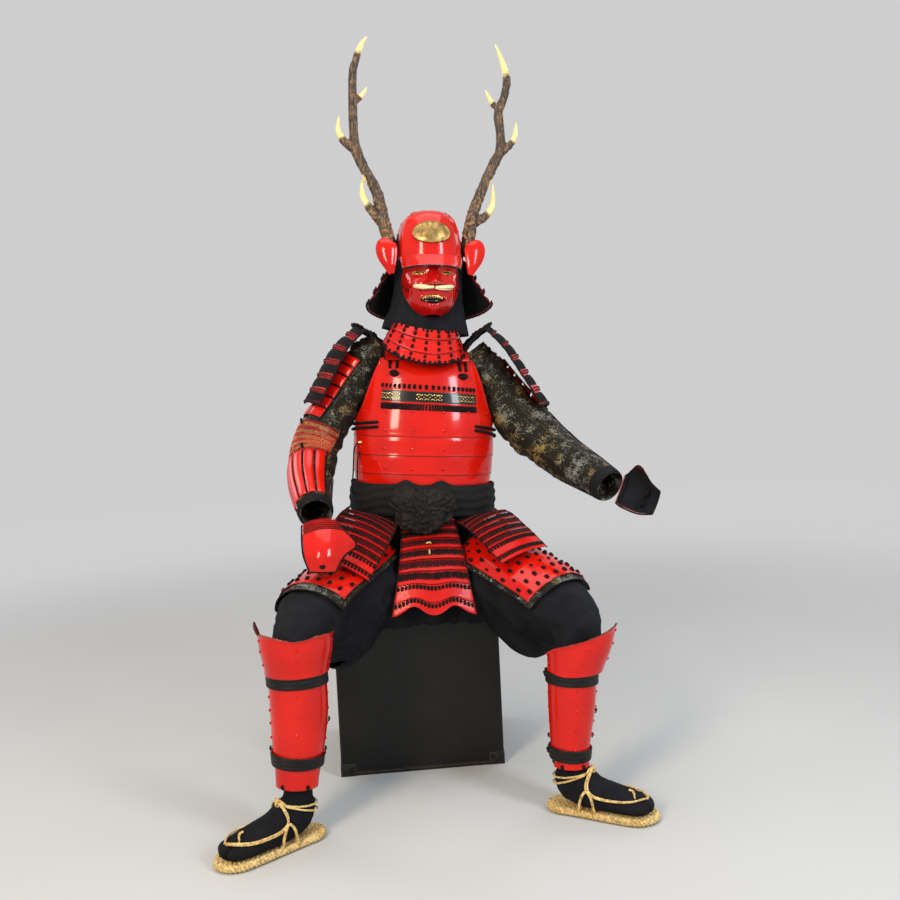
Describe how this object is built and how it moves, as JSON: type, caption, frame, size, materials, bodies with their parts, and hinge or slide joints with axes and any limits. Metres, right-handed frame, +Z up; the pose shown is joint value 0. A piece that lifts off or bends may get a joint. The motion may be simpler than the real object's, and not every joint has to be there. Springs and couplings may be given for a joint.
{
  "type": "samurai armour seated on an armour chest",
  "caption": "Red lacquered samurai armour with an antlered helmet and moustached mask, hollow and posed as worn, seated on its black storage chest.",
  "frame": {"origin": "centre of the storage chest's underside, on the floor", "axes": "+Z up, -Y the way the suit faces, +X towards the wearer's left"},
  "size_m": [1.0889, 0.853, 1.9654],
  "materials": {
    "red_lacquer": "glossy red lacquer on iron",
    "laced_lames": "lacquered lames under dark silk lacing",
    "black_leather": "satin black",
    "chest_lacquer": "satin black lacquer",
    "brocade": "dark brocade with gold and silver threads",
    "black_cloth": "matte black cotton",
    "sash_cloth": "black cloth with dull gold pattern",
    "black_cord": "braided silk",
    "brass": "aged, satin",
    "antler": "rough brown horn with pale polished tips",
    "straw": "braided dry straw",
    "hair": "stiff cream hair"
  },
  "bodies": {
    "root": {"cuirass_front": "red_lacquer", "cuirass_back": "red_lacquer", "throat_guard": "red_lacquer", "sash": "sash_cloth", "sash_knot": "sash_cloth", "helmet_bowl": "red_lacquer", "helmet_visor": "red_lacquer", "neck_guard": "laced_lames", "helmet_crest": "brass", "helmet_flap_right": "red_lacquer", "helmet_flap_left": "red_lacquer", "antler_right": "antler", "antler_left": "antler", "hood": "black_cloth", "mask": "red_lacquer", "moustache": "hair", "chest_body": "chest_lacquer", "chest_lid": "chest_lacquer", "trouser_hip_right": "black_cloth", "trouser_hip_left": "black_cloth", "trouser_thigh_right": "black_cloth", "trouser_thigh_left": "black_cloth", "trouser_knee_right": "black_cloth", "trouser_knee_left": "black_cloth", "side_cord": "black_cord", "skirt_panel_front": "laced_lames", "skirt_panel_front_right": "laced_lames", "skirt_panel_front_left": "laced_lames", "skirt_panel_side_right": "laced_lames", "skirt_panel_side_left": "laced_lames", "skirt_panel_back_right": "laced_lames", "skirt_panel_back_left": "laced_lames", "thigh_guard_right": "red_lacquer", "thigh_guard_left": "red_lacquer", "sleeve_upper_right": "brocade", "sleeve_fore_right": "brocade", "hand_guard_right": "red_lacquer", "sleeve_upper_left": "brocade", "sleeve_fore_left": "brocade", "hand_guard_left": "red_lacquer", "upper_arm_plates_right": "red_lacquer", "forearm_splints_right": "red_lacquer", "upper_arm_plates_left": "red_lacquer", "forearm_splints_left": "red_lacquer", "shoulder_guard_right": "laced_lames", "shoulder_guard_left": "laced_lames", "shin_guard_right": "red_lacquer", "knee_guard_right": "red_lacquer", "shin_strap_right_1": "black_leather", "shin_strap_right_2": "black_leather", "shin_guard_left": "red_lacquer", "knee_guard_left": "red_lacquer", "shin_strap_left_1": "black_leather", "shin_strap_left_2": "black_leather", "sock_right": "black_cloth", "sandal_right": "straw", "sandal_cord_right": "straw", "sock_left": "black_cloth", "sandal_left": "straw", "sandal_cord_left": "straw"}
  },
  "joints": []
}
